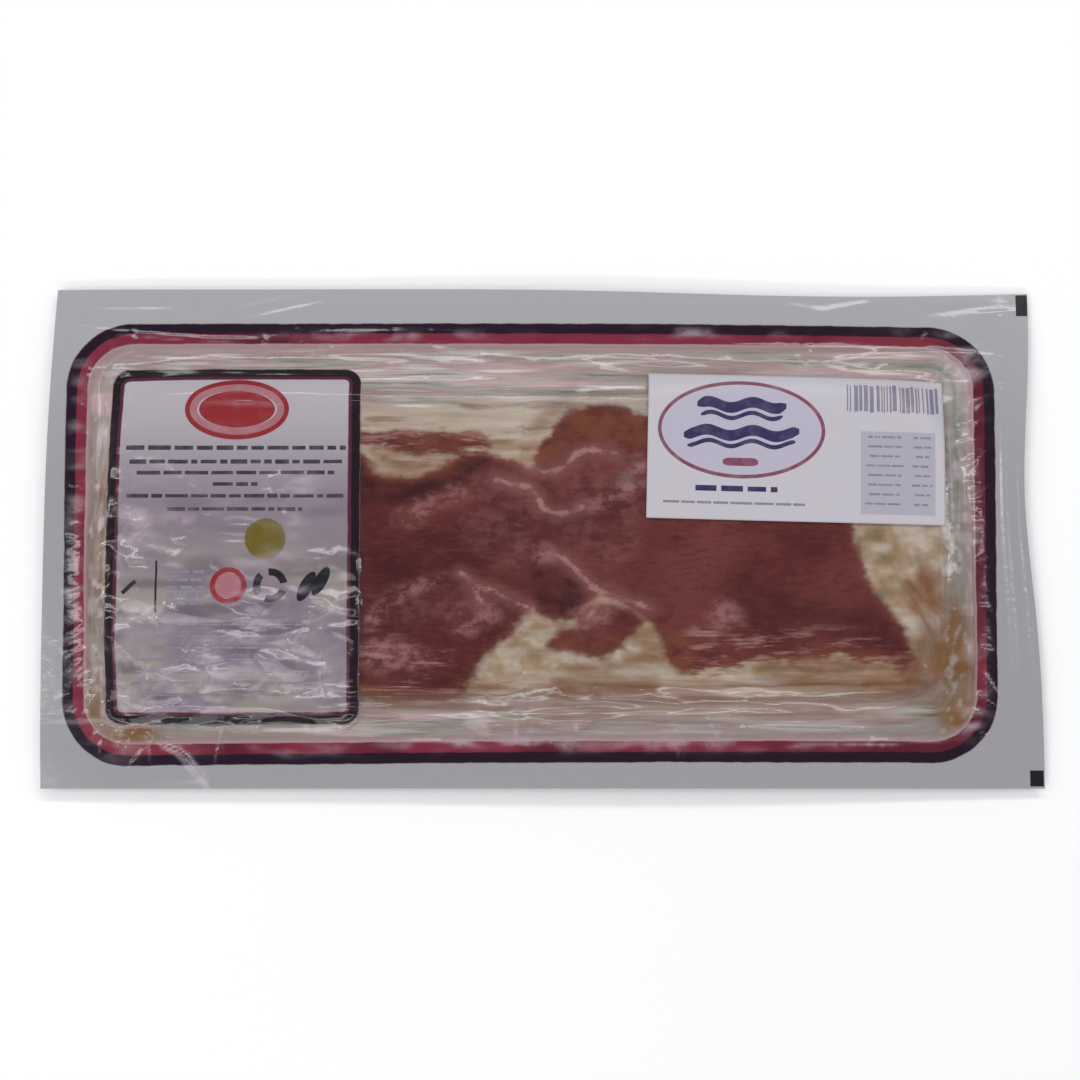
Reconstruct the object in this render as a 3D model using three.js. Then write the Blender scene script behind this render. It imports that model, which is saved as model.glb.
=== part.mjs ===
// A flat vacuum pack of sliced back bacon, lying face up, with the sticker on its window.
// Millimetres, +Z up, X along the pack. The origin is on the table, under the middle of the pack.
import * as THREE from "three";

const packLength = 268;
const packWidth = 136.2;
const rimThickness = 0.6; // the sealed films, a little stouter than the real ones
const rimHeight = 4.4; // of the rim's upper face, beside the meat
const sliceThickness = 1.8;
const slicesInStack = 5;
const filmOverMeat = 0.4;
const sheetCells = [66, 36]; // the pack's mesh, along X and Y

const labelSize = [80, 40, 0.3];
const labelPlace = [68.1, 21.6]; // its middle
const labelTurn = THREE.MathUtils.degToRad(-1.5);
const labelGap = 0.3; // between the sticker and the film's facets
const labelStiffness = 2; // how far about a point the film can hold the stiff paper up
const labelCells = [30, 15];

// The cuts aren't straight: those at the right and along the top bow inward, the left one outward.
const rightCutBow = 3.2;
const rightCutBowAt = 12;
const rightCutBowReach = 32;
const upperCutDip = 2.1;
const upperCutDipAt = 80;
const upperCutDipReach = 62;
const leftCutBow = 1.1; // how far its corners are drawn in
const cutGrip = 10; // how sharply the mesh turns from the cuts' lines to straight ones

// The rim waves a little and hangs lower at its corners.
const rimWave = 0.5;
const rimWaveLengths = [175, 95];
const rimWaveShift = 17;
const cornerDroop = 2;

// Each stack's uppermost slice, seen from above, as points that a smooth curve goes through.
const rightSlice = [
  [-8, 17], [-8, 29], [-4, 37.5], [8, 40.5], [32, 41.5], [60, 42], [84, 41], [101, 36], [109, 24], [112.5, 4],
  [114, -20], [111, -37], [98, -43.5], [72, -45], [42, -45.5], [16, -45], [0, -43], [-6, -35], [-8, -20],
  [-8.5, 0],
];
const leftSlice = [
  [6.5, 14], [6, 29], [2, 37.5], [-12, 41], [-44, 42], [-80, 43], [-104, 40], [-115, 29], [-120, 8],
  [-120, -16], [-115, -35], [-100, -43], [-72, -45], [-42, -46], [-16, -45.5], [0, -42.5], [6, -32],
  [6.5, -8],
];

const leftEnd = -120; // the stacks' outer ends
const rightEnd = 114;

// The uppermost slices' folds, which stand a little above the rest of them.
const foldThickness = 0.9;
const folds = [
  // The right slice's lean end, and the tip that is turned back over it.
  [
    [-2, 6], [10, 8], [22, 14], [34, 23], [48, 30], [67, 29], [80, 19], [89, -8], [103, -34], [76, -37],
    [36, -34], [12, -13],
  ],
  [[-2, 18], [6, 32], [20, 36], [33, 28], [26, 18], [18, 12], [7, 7], [-2, 10]],
  // The left slice's lean end, and its lower lobe.
  [
    [-100, 14], [-64, 17], [-40, 15], [-16, 24], [-3, 17], [-3, -17], [-20, -12], [-46, -20], [-64, -20],
    [-100, -18],
  ],
  [[-48, -41], [-44, -26], [-32, -16], [-14, -17], [-5, -24], [-16, -39], [-30, -46]],
];

// A slice under another is a little wider, reaches further out, and ends short of the other stack.
const widening = 0.021;
const wideningFrom = -3;
const reachingOut = 0.5;
const shortening = 0.01;
const turnOfSlices = THREE.MathUtils.degToRad(0.5);

const meatEdge = 6; // half the width of the slope that the film makes over a slice's edge
const foldEdge = 3;
const tuckUnder = [-5, 3]; // from where to where the film below rises from the table to the rim
const blendOfFilms = 2; // how softly the film turns from the rim to the meat
const curveSteps = 64;

const filmColour = new THREE.MeshStandardMaterial({ color: 0x9c6a62, roughness: 0.25, metalness: 0 });
const paperColour = new THREE.MeshStandardMaterial({ color: 0xb6b3bd, roughness: 0.5, metalness: 0 });

const { smoothstep } = THREE.MathUtils;

function hump(distance, reach) {
  return Math.exp(-((distance / reach) ** 2));
}

function smoothOutline(points) {
  const corners = points.map(([x, y]) => new THREE.Vector3(x, y, 0));
  return new THREE.CatmullRomCurve3(corners, true).getPoints(curveSteps);
}

// The outline of the slice that lies under that many others, with its outer end at outerX.
function sliceOutline(points, outerX, under) {
  const outward = Math.sign(outerX);
  const trim = 1 - shortening * under;
  const turn = under % 2 ? turnOfSlices : -turnOfSlices;
  const placed = points.map(([x, y]) => [
    outerX + (x - outerX) * trim + outward * reachingOut * under - y * turn,
    wideningFrom + (y - wideningFrom) * (1 + widening * under) + (x - outerX / 2) * turn,
  ]);
  return smoothOutline(placed);
}

// Both stacks' outlines, level by level, from the uppermost slices down.
const levels = Array.from({ length: slicesInStack }, (_, under) => [
  sliceOutline(leftSlice, leftEnd, under),
  sliceOutline(rightSlice, rightEnd, under),
]);
const foldOutlines = folds.map((points) => [smoothOutline(points)]);

// How far a point lies inside an outline, negative outside it.
function depthInside(outline, x, y) {
  let nearest = Infinity;
  let inside = false;
  for (let i = 0; i + 1 < outline.length; i++) {
    const a = outline[i];
    const b = outline[i + 1];
    const [dx, dy] = [b.x - a.x, b.y - a.y];
    const along = THREE.MathUtils.clamp(((x - a.x) * dx + (y - a.y) * dy) / (dx * dx + dy * dy || 1), 0, 1);
    nearest = Math.min(nearest, Math.hypot(x - a.x - along * dx, y - a.y - along * dy));
    if (a.y > y !== b.y > y && x < a.x + ((y - a.y) / dy) * dx) inside = !inside;
  }
  return inside ? nearest : -nearest;
}

function depthInsideAny(outlines, x, y) {
  return Math.max(...outlines.map((outline) => depthInside(outline, x, y)));
}

// The height of layers of that thickness at a point, each with a soft edge of that half width.
function layered(layers, thickness, edge, x, y) {
  const shares = layers.map((outlines) => smoothstep(depthInsideAny(outlines, x, y), -edge, edge));
  return thickness * shares.reduce((sum, share) => sum + share, 0);
}

function meatHeight(x, y) {
  const stacks = layered(levels, sliceThickness, meatEdge, x, y);
  return stacks + layered(foldOutlines, foldThickness, foldEdge, x, y);
}

function rimTop(x, y) {
  const toEdge = Math.max(Math.abs(x) / (packLength / 2), Math.abs(y) / (packWidth / 2));
  const toCorner = (Math.abs(x) / (packLength / 2)) * (Math.abs(y) / (packWidth / 2));
  const [waveX, waveY] = rimWaveLengths.map((length) => (2 * Math.PI) / length);
  const wave = Math.sin(waveX * (x + rimWaveShift)) + Math.sin(waveY * y);
  return rimHeight + rimWave * wave * toEdge ** 2 - cornerDroop * toCorner ** 3;
}

function filmTop(x, y) {
  const rim = rimTop(x, y);
  const meat = filmOverMeat + meatHeight(x, y);
  return (rim + meat + Math.hypot(rim - meat, blendOfFilms)) / 2;
}

function filmUnder(x, y) {
  const inside = depthInsideAny(levels.flat(), x, y);
  return (rimTop(x, y) - rimThickness) * (1 - smoothstep(inside, ...tuckUnder));
}

// Moves a point of the plain rectangle so that the rectangle's sides follow the cuts.
function alongCuts(x, y) {
  const right = Math.max(0, x / (packLength / 2)) ** cutGrip;
  const upper = Math.max(0, y / (packWidth / 2)) ** cutGrip;
  const left = Math.max(0, -x / (packLength / 2)) ** cutGrip;
  const drawnIn = left * leftCutBow * (y / (packWidth / 2)) ** 2;
  return [
    x + drawnIn - right * rightCutBow * hump(y - rightCutBowAt, rightCutBowReach),
    y - upper * upperCutDip * hump(x - upperCutDipAt, upperCutDipReach),
  ];
}

// Bends a flat box: each point of its faces above and below goes to the heights given.
function bend(geometry, place, heightAbove, heightBelow) {
  const points = geometry.getAttribute("position");
  for (let i = 0; i < points.count; i++) {
    const [x, y] = place(points.getX(i), points.getY(i));
    points.setXYZ(i, x, y, points.getZ(i) > 0 ? heightAbove(x, y) : heightBelow(x, y));
  }
  geometry.computeVertexNormals();
  return geometry;
}

function makePack() {
  const flat = new THREE.BoxGeometry(packLength, packWidth, rimThickness, ...sheetCells, 1);
  const pack = new THREE.Mesh(bend(flat, alongCuts, filmTop, filmUnder), filmColour);
  pack.name = "pack";
  return pack;
}

function makeLabel() {
  const [length, width, thickness] = labelSize;
  const flat = new THREE.BoxGeometry(length, width, thickness, ...labelCells, 1).rotateZ(labelTurn);
  const place = (x, y) => [x + labelPlace[0], y + labelPlace[1]];
  const reaches = [-labelStiffness, 0, labelStiffness];
  const steps = reaches.flatMap((dx) => reaches.map((dy) => [dx, dy]));
  const below = (x, y) => labelGap + Math.max(...steps.map(([dx, dy]) => filmTop(x + dx, y + dy)));
  const label = new THREE.Mesh(bend(flat, place, (x, y) => below(x, y) + thickness, below), paperColour);
  label.name = "label";
  return label;
}

const baconPack = new THREE.Group();
baconPack.add(makePack(), makeLabel());
export default baconPack;
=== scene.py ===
# A flat vacuum pack of sliced back bacon, lying face up on a pale table.
# Everything is laid out in millimetres, and the meshes are made in metres.
import bpy
import math
import numpy as np
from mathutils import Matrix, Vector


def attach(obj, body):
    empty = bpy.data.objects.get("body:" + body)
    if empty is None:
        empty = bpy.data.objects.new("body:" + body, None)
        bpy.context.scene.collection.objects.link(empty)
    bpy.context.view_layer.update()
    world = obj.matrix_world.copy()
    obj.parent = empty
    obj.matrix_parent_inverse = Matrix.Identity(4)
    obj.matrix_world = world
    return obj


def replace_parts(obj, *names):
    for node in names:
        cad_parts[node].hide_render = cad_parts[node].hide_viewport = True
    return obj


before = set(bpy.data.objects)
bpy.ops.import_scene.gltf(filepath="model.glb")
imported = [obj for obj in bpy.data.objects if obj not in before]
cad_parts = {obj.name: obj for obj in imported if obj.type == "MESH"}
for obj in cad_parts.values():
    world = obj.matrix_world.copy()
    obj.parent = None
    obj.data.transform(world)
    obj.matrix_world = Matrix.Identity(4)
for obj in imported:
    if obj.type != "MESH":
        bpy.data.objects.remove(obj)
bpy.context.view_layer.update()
rng = np.random.default_rng(11)
mm = 0.001

pack = {
    "length": 268, "width": 136.2,
    "cells": (412, 210),
    # the rim waves a little and hangs lower at its corners
    "rimHeight": 4.4, "rimWave": 0.5, "waveLengths": (175, 95), "waveShift": 17, "cornerDroop": 2,
    # the cuts at the right and along the top bow inward, the left one outward
    "rightBow": 3.2, "rightBowAt": 12, "rightBowReach": 32,
    "upperDip": 2.1, "upperDipAt": 80, "upperDipReach": 62,
    "leftBow": 1.1, "cutGrip": 10,  # how sharply the sheet turns from the cuts' lines to straight ones
}


def smoothstep(value, low, high):
    t = np.clip((value - low) / (high - low), 0, 1)
    return t * t * (3 - 2 * t)


def hump(distance, reach):
    return np.exp(-((distance / reach) ** 2))


def turned(x, y, angle):
    c, s = math.cos(angle), math.sin(angle)
    return x * c - y * s, x * s + y * c


# The sheet that the whole pack is worked out on, row by row from the near edge
sheetU, sheetV = np.meshgrid(
    np.linspace(-pack["length"] / 2, pack["length"] / 2, pack["cells"][0] + 1),
    np.linspace(-pack["width"] / 2, pack["width"] / 2, pack["cells"][1] + 1),
)
step = pack["length"] / pack["cells"][0]
rightPull = np.maximum(0, sheetU * 2 / pack["length"]) ** pack["cutGrip"]
upperPull = np.maximum(0, sheetV * 2 / pack["width"]) ** pack["cutGrip"]
leftPull = np.maximum(0, -sheetU * 2 / pack["length"]) ** pack["cutGrip"]
drawnIn = leftPull * pack["leftBow"] * (sheetV * 2 / pack["width"]) ** 2
sheetX = sheetU + drawnIn - rightPull * pack["rightBow"] * hump(
    sheetV - pack["rightBowAt"], pack["rightBowReach"])
sheetY = sheetV - upperPull * pack["upperDip"] * hump(sheetU - pack["upperDipAt"], pack["upperDipReach"])


def rimTop(x, y):
    toEdge = np.maximum(abs(x) * 2 / pack["length"], abs(y) * 2 / pack["width"])
    toCorner = abs(x * y) * 4 / (pack["length"] * pack["width"])
    waveX, waveY = (2 * math.pi / length for length in pack["waveLengths"])
    wave = np.sin(waveX * (x + pack["waveShift"])) + np.sin(waveY * y)
    return pack["rimHeight"] + pack["rimWave"] * wave * toEdge**2 - pack["cornerDroop"] * toCorner**3


def padAlong(field, axis, cells, beyond):
    return np.pad(field, [(cells, cells) if a == axis else (0, 0) for a in (0, 1)], mode=beyond)


def blur(field, sigmaX, sigmaY, beyond="edge"):
    for axis, sigma in ((1, sigmaX), (0, sigmaY)):
        cells = sigma / step
        reach = max(1, int(3 * cells))
        weights = np.exp(-0.5 * (np.arange(-reach, reach + 1) / cells) ** 2)
        weights /= weights.sum()
        padded = padAlong(field, axis, reach, beyond)
        count = field.shape[axis]
        field = sum(w * np.take(padded, range(k, k + count), axis) for k, w in enumerate(weights))
    return field


# Each point takes the highest value within that reach
def grow(field, reach):
    cells = int(round(reach / step))
    for axis in (0, 1):
        padded = padAlong(field, axis, cells, "edge")
        count = field.shape[axis]
        shifted = [np.take(padded, range(k, k + count), axis) for k in range(2 * cells + 1)]
        field = np.maximum.reduce(shifted)
    return field


# Random waves about as long and as wide as the sigmas, with a spread of 1, no weaker at the sheet's edges
def ripples(sigmaX, sigmaY):
    waves = blur(rng.standard_normal(sheetU.shape), sigmaX, sigmaY, "wrap")
    return waves / waves.std()


def smoothOutline(points, steps=96):
    p = np.array(points, float)
    t = np.arange(steps) * len(p) / steps
    w = (t % 1)[:, None]
    p0, p1, p2, p3 = (p[(t.astype(int) + k) % len(p)] for k in (-1, 0, 1, 2))
    pairs = ((p0, p1), (p1, p2), (p2, p3))
    d0, d1, d2 = (np.linalg.norm(b - a, axis=1)[:, None] ** 0.5 for a, b in pairs)
    m1 = ((p1 - p0) / d0 - (p2 - p0) / (d0 + d1) + (p2 - p1) / d1) * d1
    m2 = ((p2 - p1) / d1 - (p3 - p1) / (d1 + d2) + (p3 - p2) / d2) * d1
    return p1 + w * m1 + w**2 * (3 * (p2 - p1) - 2 * m1 - m2) + w**3 * (2 * (p1 - p2) + m1 + m2)


# How far the sheet's points lie from a line through those points
def distanceTo(points, closed=False, margin=14):
    points = np.array(points, float)
    low, high = points.min(0) - margin, points.max(0) + margin
    rows = np.flatnonzero((sheetV[:, 0] > low[1]) & (sheetV[:, 0] < high[1]))
    columns = np.flatnonzero((sheetU[0] > low[0]) & (sheetU[0] < high[0]))
    window = np.ix_(rows, columns)
    x, y = sheetX[window], sheetY[window]
    nearest = np.full(x.shape, float(margin) ** 2)
    inside = np.zeros(x.shape, bool)
    ends = np.roll(points, -1, 0) if closed else points[1:]
    for (ax, ay), (bx, by) in zip(points, ends):
        ex, ey = bx - ax, by - ay
        along = np.clip(((x - ax) * ex + (y - ay) * ey) / (ex * ex + ey * ey + 1e-9), 0, 1)
        nearest = np.minimum(nearest, (x - ax - along * ex) ** 2 + (y - ay - along * ey) ** 2)
        if closed and ey:
            inside ^= ((ay > y) != (by > y)) & (x < ax + (y - ay) / ey * ex)
    distance = np.full(sheetU.shape, -margin if closed else margin, float)
    distance[window] = np.where(inside, 1, -1) * np.sqrt(nearest) if closed else np.sqrt(nearest)
    return distance


# How far they lie inside an outline, negative outside it
def depthInside(outline):
    return distanceTo(outline, closed=True)


# Meshes

def addMesh(name, points, quads, values, material):
    mesh = bpy.data.meshes.new(name)
    mesh.vertices.add(len(points))
    mesh.vertices.foreach_set("co", (np.asarray(points, float) * mm).ravel())
    mesh.loops.add(quads.size)
    mesh.loops.foreach_set("vertex_index", quads.ravel().astype(np.int32))
    mesh.polygons.add(len(quads))
    mesh.polygons.foreach_set("loop_start", np.arange(len(quads), dtype=np.int32) * 4)
    mesh.polygons.foreach_set("use_smooth", np.ones(len(quads), bool))
    mesh.update(calc_edges=True)
    for key, value in values.items():
        attribute = mesh.attributes.new(key, "FLOAT", "POINT")
        attribute.data.foreach_set("value", value.astype(np.float32).ravel())
    mesh.materials.append(material)
    piece = bpy.data.objects.new(name, mesh)
    bpy.context.scene.collection.objects.link(piece)
    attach(piece, "root")
    return piece


# The quads of the cells chosen, counter-clockwise from above, as numbers of the grid's points
def cellQuads(cells):
    rows, columns = np.nonzero(cells)
    wide = cells.shape[1] + 1
    corner = rows * wide + columns
    return np.stack([corner, corner + 1, corner + wide + 1, corner + wide], 1)


def addSheet(name, points, cells, values, material):
    quads = cellQuads(cells)
    used, numbered = np.unique(quads, return_inverse=True)
    flatPoints = points.reshape(-1, 3)[used]
    flatValues = {key: value.ravel()[used] for key, value in values.items()}
    return addMesh(name, flatPoints, numbered.reshape(-1, 4), flatValues, material)


# The cells chosen of two grids of points, one above the other, as one closed body
def addBody(name, above, below, cells, values, material):
    quads = cellQuads(cells)
    used, numbered = np.unique(quads, return_inverse=True)
    top = numbered.reshape(-1, 4)
    count = len(used)
    ringed = np.pad(cells, 1)
    rows, columns = np.nonzero(cells)
    openSides = [~ringed[rows, columns + 1], ~ringed[rows + 1, columns + 2],
                 ~ringed[rows + 2, columns + 1], ~ringed[rows + 1, columns]]
    walls = []
    for side, isOpen in enumerate(openSides):
        a, b = top[isOpen, side], top[isOpen, (side + 1) % 4]
        walls.append(np.stack([b, a, a + count, b + count], 1))
    faces = np.concatenate([top, top[:, ::-1] + count, *walls])
    points = np.concatenate([above.reshape(-1, 3)[used], below.reshape(-1, 3)[used]])
    both = {key: np.tile(value.ravel()[used], 2) for key, value in values.items()}
    return addMesh(name, points, faces, both, material)


# Materials

class Nodes:
    # Short words for the nodes that the materials here are made of
    def __init__(self, name):
        self.material = bpy.data.materials.new(name)
        self.material.use_nodes = True
        self.tree = self.material.node_tree
        self.tree.nodes.clear()
        self.output = self.make("OutputMaterial")

    def make(self, kind, inputs=None, **settings):
        node = self.tree.nodes.new("ShaderNode" + kind)
        for key, value in settings.items():
            setattr(node, key, value)
        for key, value in (inputs or {}).items():
            if isinstance(value, bpy.types.NodeSocket):
                self.tree.links.new(value, node.inputs[key])
            else:
                node.inputs[key].default_value = value
        return node

    def spot(self):
        return self.make("TexCoord").outputs["Object"]

    # The spot's places along and across the pack, in metres
    def places(self):
        return self.make("SeparateXYZ", {0: self.spot()}).outputs

    def texture(self, vector, detail, roughness):
        inputs = {"Vector": vector, "Scale": 1, "Detail": detail, "Roughness": roughness}
        return self.make("TexNoise", inputs).outputs["Fac"]

    def noise(self, scale, detail=3, roughness=0.55):
        stretched = self.make("Mapping", {"Vector": self.spot(), "Scale": scale}).outputs[0]
        return self.texture(stretched, detail, roughness)

    def value(self, name):
        return self.make("Attribute", attribute_name=name).outputs["Fac"]

    def math(self, operation, a, b):
        return self.make("Math", {0: a, 1: b}, operation=operation).outputs[0]

    def times(self, a, b):
        return self.math("MULTIPLY", a, b)

    def plus(self, a, b):
        return self.math("ADD", a, b)

    def highest(self, a, b):
        return self.math("MAXIMUM", a, b)

    # Noise about zero instead of about a half
    def centred(self, noise):
        return self.math("SUBTRACT", noise, 0.5)

    def remap(self, value, low, high, toLow=0.0, toHigh=1.0):
        inputs = {"Value": value, "From Min": low, "From Max": high, "To Min": toLow, "To Max": toHigh}
        return self.make("MapRange", inputs, interpolation_type="SMOOTHSTEP").outputs[0]

    def mix(self, factor, a, b):
        return self.make("Mix", {0: factor, 6: a, 7: b}, data_type="RGBA").outputs[2]

    def ramp(self, value, stops):
        node = self.make("ValToRGB", {"Fac": value})
        elements = node.color_ramp.elements
        while len(elements) < len(stops):
            elements.new(0.5)
        for element, (position, color) in zip(elements, stops):
            element.position = position
            element.color = color
        return node.outputs[0]

    def finish(self, shader):
        self.tree.links.new(shader, self.output.inputs["Surface"])
        return self.material


# A colour as it is read off a screen, from 0 to 255
def screen(*levels):
    shares = [level / 255 for level in levels]
    return tuple(((s + 0.055) / 1.055) ** 2.4 if s > 0.04045 else s / 12.92 for s in shares) + (1,)


meatLook = {
    "lean": screen(108, 42, 41), "leanDeep": screen(84, 24, 27), "leanPale": screen(130, 64, 60),
    # the mauve is partly the lean's own colour and partly painted sheen of the film's crinkles
    "mauveAndSheen": screen(166, 112, 112), "brown": screen(134, 76, 52), "dark": screen(66, 12, 18),
    "seam": screen(184, 140, 134),
    "fat": screen(188, 166, 141), "fatCream": screen(166, 136, 96), "fatWhite": screen(214, 205, 194),
    "fatOlive": screen(132, 112, 82),
    "edge": screen(148, 102, 66), "stain": screen(138, 82, 36),
    "roughness": 0.5, "shine": 0.06,  # hardly any of its own, as the film lies right on it
    # How far the lean's edge wanders, in millimetres, in wide and fine waves and where the fat frays it
    "wideWaves": 5.0, "fineWaves": 2.4, "frayed": 11.0,
    # Over which stretches the fat turns whiter away from the reader, and blotchy, in metres
    "whiterAcross": (0.012, 0.034), "blotchyAlong": (0.078, 0.09),
    "blotchyFrom": (-0.042, -0.036), "blotchyTo": (0.02, 0.01),
}


def leanColor(n, leanDepth, flecks, streakyNoise):
    look = meatLook
    lean = n.ramp(n.noise((34, 44, 20), detail=2), [
        (0.32, look["leanDeep"]), (0.5, look["lean"]), (0.7, look["leanPale"])])
    mottle = n.noise((150, 230, 80), roughness=0.6)
    lean = n.mix(n.remap(mottle, 0.52, 0.76, 0, 0.45), lean, look["leanPale"])
    lean = n.mix(n.remap(mottle, 0.47, 0.28, 0, 0.5), lean, look["leanDeep"])
    grain = n.noise((300, 900, 300), detail=2)
    lean = n.mix(n.remap(grain, 0.5, 0.72, 0, 0.4), lean, look["leanPale"])
    lean = n.mix(n.remap(grain, 0.48, 0.3, 0, 0.4), lean, look["leanDeep"])
    darkened = n.times(n.value("dark"), n.remap(mottle, 0.66, 0.4, 0.5, 1))
    lean = n.mix(darkened, lean, look["dark"])
    nearEdge = n.remap(leanDepth, 3.2, 0.0, 0, 0.45)
    browned = n.highest(n.times(n.value("brown"), n.remap(mottle, 0.34, 0.6, 0.1, 1)), nearEdge)
    lean = n.mix(browned, lean, look["brown"])
    # pale mauve smears, partly the lean's own and partly painted sheen
    mauveAndSheenShown = n.times(n.value("mauveAndSheen"), n.remap(streakyNoise, -0.1, 0.13, 0.12, 0.95))
    lean = n.mix(mauveAndSheenShown, lean, look["mauveAndSheen"])
    flecked = n.times(n.remap(flecks, 0.5, 0.68, 0, 0.8), n.value("flecks"))
    return n.mix(flecked, lean, look["seam"])


# Noise drawn out along the fat's layers
def layers(n, along, across, detail=4):
    spot = n.make("CombineXYZ", {0: n.times(n.places()[0], along), 1: n.times(n.value("layer"), across)})
    return n.texture(spot.outputs[0], detail, 0.6)


def fatColor(n):
    look = meatLook
    x, y = n.places()[:2]
    fat = n.ramp(layers(n, 22, 0.36), [
        (0.34, look["fatCream"]), (0.47, look["fat"]), (0.64, look["fatWhite"])])
    fat = n.mix(n.remap(layers(n, 26, 0.09, 2), 0.42, 0.62, 0, 0.6), fat, look["fatCream"])
    fat = n.mix(n.times(n.remap(y, *look["whiterAcross"]), 0.6), fat, look["fatWhite"])
    blotches = n.ramp(n.noise((120, 170, 60), detail=2, roughness=0.5), [
        (0.34, look["fatOlive"]), (0.43, look["fatCream"]), (0.52, look["fat"]), (0.62, look["fatWhite"])])
    atRight = n.remap(x, *look["blotchyAlong"], 0, 0.6)
    inMiddle = n.times(n.remap(y, *look["blotchyFrom"]), n.remap(y, *look["blotchyTo"], 0, 0.65))
    blotchy = n.highest(atRight, inMiddle)
    fat = n.mix(blotchy, fat, blotches)
    dried = n.times(n.remap(layers(n, 34.5, 0.27), 0.52, 0.68, 0, 0.75), n.remap(blotchy, 0, 0.75, 1, 0.35))
    fat = n.mix(dried, fat, look["edge"])
    return n.mix(n.remap(n.value("rim"), 1.5, 0.2, 0, 0.6), fat, look["edge"])


def makeMeat():
    n = Nodes("cured_meat")
    look = meatLook
    flecks = n.noise((90, 480, 60), roughness=0.6)
    wide = n.times(n.centred(n.noise((110, 150, 60))), look["wideWaves"])
    fine = n.times(n.centred(n.noise((330, 560, 200), detail=2)), look["fineWaves"])
    ragged = n.times(n.centred(flecks), n.times(n.value("flecks"), look["frayed"]))
    leanDepth = n.plus(n.plus(n.value("lean"), wide), n.plus(fine, ragged))
    isLean = n.remap(leanDepth, -1.3, 1.2)
    streakyNoise = n.centred(n.noise((260, 380, 80), roughness=0.7))
    soaked = n.times(n.value("stain"), n.remap(layers(n, 70, 0.21), 0.32, 0.6, 0.35, 1))
    fat = n.mix(soaked, fatColor(n), look["stain"])
    lean = n.mix(n.times(soaked, 0.65), leanColor(n, leanDepth, flecks, streakyNoise), look["stain"])
    color = n.mix(isLean, fat, lean)

    seamGap = n.plus(n.value("seam"), n.times(streakyNoise, 3.6))
    broken = n.remap(n.noise((170, 210, 60), detail=2), 0.4, 0.56, 0.25, 1)
    color = n.mix(n.remap(seamGap, 4.2, 0.4, 0, 0.38), color, look["mauveAndSheen"])
    color = n.mix(n.times(n.remap(seamGap, 0.9, 0.0, 0, 0.9), broken), color, look["seam"])
    fibres = n.noise((120, 420, 150), detail=2, roughness=0.5)
    height = n.plus(n.times(fibres, 0.5), n.times(isLean, -0.15))
    bump = n.make("Bump", {"Height": height, "Strength": 0.4, "Distance": 0.0003})
    surface = n.make("BsdfPrincipled", {
        "Base Color": color, "Roughness": look["roughness"], "Specular IOR Level": look["shine"],
        "Normal": bump.outputs[0]})
    return n.finish(surface.outputs[0])


filmLook = {
    # the paler rim colour is painted light, for the far rim as if lit more
    "rim": screen(166, 164, 168), "rimLit": screen(178, 176, 180),
    "navy": screen(28, 0, 26), "red": screen(126, 38, 58), "redDeep": screen(92, 18, 40),
    # the pink is a painted highlight inside the red band, and one of the colours of the film's streaks
    "pinkSheen": screen(188, 156, 158), "hazeAndGlare": screen(190, 182, 176), "white": screen(220, 214, 212),
    # the scuffed white is that of rubbed creases and of painted highlights
    "greenish": screen(134, 140, 126), "scuffedAndGlinting": screen(208, 192, 202), "juice": screen(138, 94, 46),
    "panelBorder": screen(24, 8, 20), "panelLine": screen(84, 30, 54), "panelFill": screen(138, 124, 138),
    "panelPale": screen(184, 178, 184), "panelShade": screen(92, 80, 96), "panelWarm": screen(162, 154, 144),
    "rimCover": 0.9, "bandCover": 0.97, "panelCover": 0.95, "pinkSheenCover": 0.7,
    "roughness": 0.13, "gloss": 0.8,
    # Over which depths inside the frame's outer edge one colour turns into the next, in millimetres
    "edge": (-0.15, 0.15), "toRed": (2.6, 3.1), "toPinkSheen": (5.5, 5.9), "toHaze": (6.4, 8.6),
    "coverThins": (5.6, 5.9, 8.5),
    # and inside the panel's edge
    "toLine": (2.1, 2.4), "toFill": (3.1, 3.35), "ontoFill": (3.1, 3.4),
    "wobble": 0.6,  # of the print's edges
}


# Shines as film does, over the colour given, and lets the rest through
def addFilmShader(n, color, cover, look, relief):
    bump = n.make("Bump", {"Height": relief, "Strength": 0.6, "Distance": 0.0001}).outputs[0]
    printed = n.make("BsdfDiffuse", {"Color": color, "Roughness": 0.4, "Normal": bump}).outputs[0]
    clear = n.make("BsdfTransparent").outputs[0]
    body = n.make("MixShader", {0: cover, 1: clear, 2: printed}).outputs[0]
    fresnel = n.make("Fresnel", {"IOR": 1.5, "Normal": bump}).outputs[0]
    shine = n.make("BsdfGlossy", {
        "Color": (1, 1, 1, 1), "Roughness": look["roughness"], "Normal": bump}).outputs[0]
    return n.make("MixShader", {0: n.times(fresnel, look["gloss"]), 1: body, 2: shine}).outputs[0]


# How much of the film is rubbed white at its creases, and how much carries painted highlights
def rubbedAndGlintShare(n, most):
    return n.times(n.value("scuff"), n.remap(n.noise((260, 380, 60)), 0.3, 0.6, 0.3, most))


rampStart = -4.0  # the depth in millimetres at the start of the film's ramps
rampSpan = 16.0  # and over their whole length


def onRamp(depth):
    return (depth - rampStart) / rampSpan


def rampSpot(n, depth):
    return n.math("DIVIDE", n.plus(depth, -rampStart), rampSpan)


def grey(value):
    return (value, value, value, 1)


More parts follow.
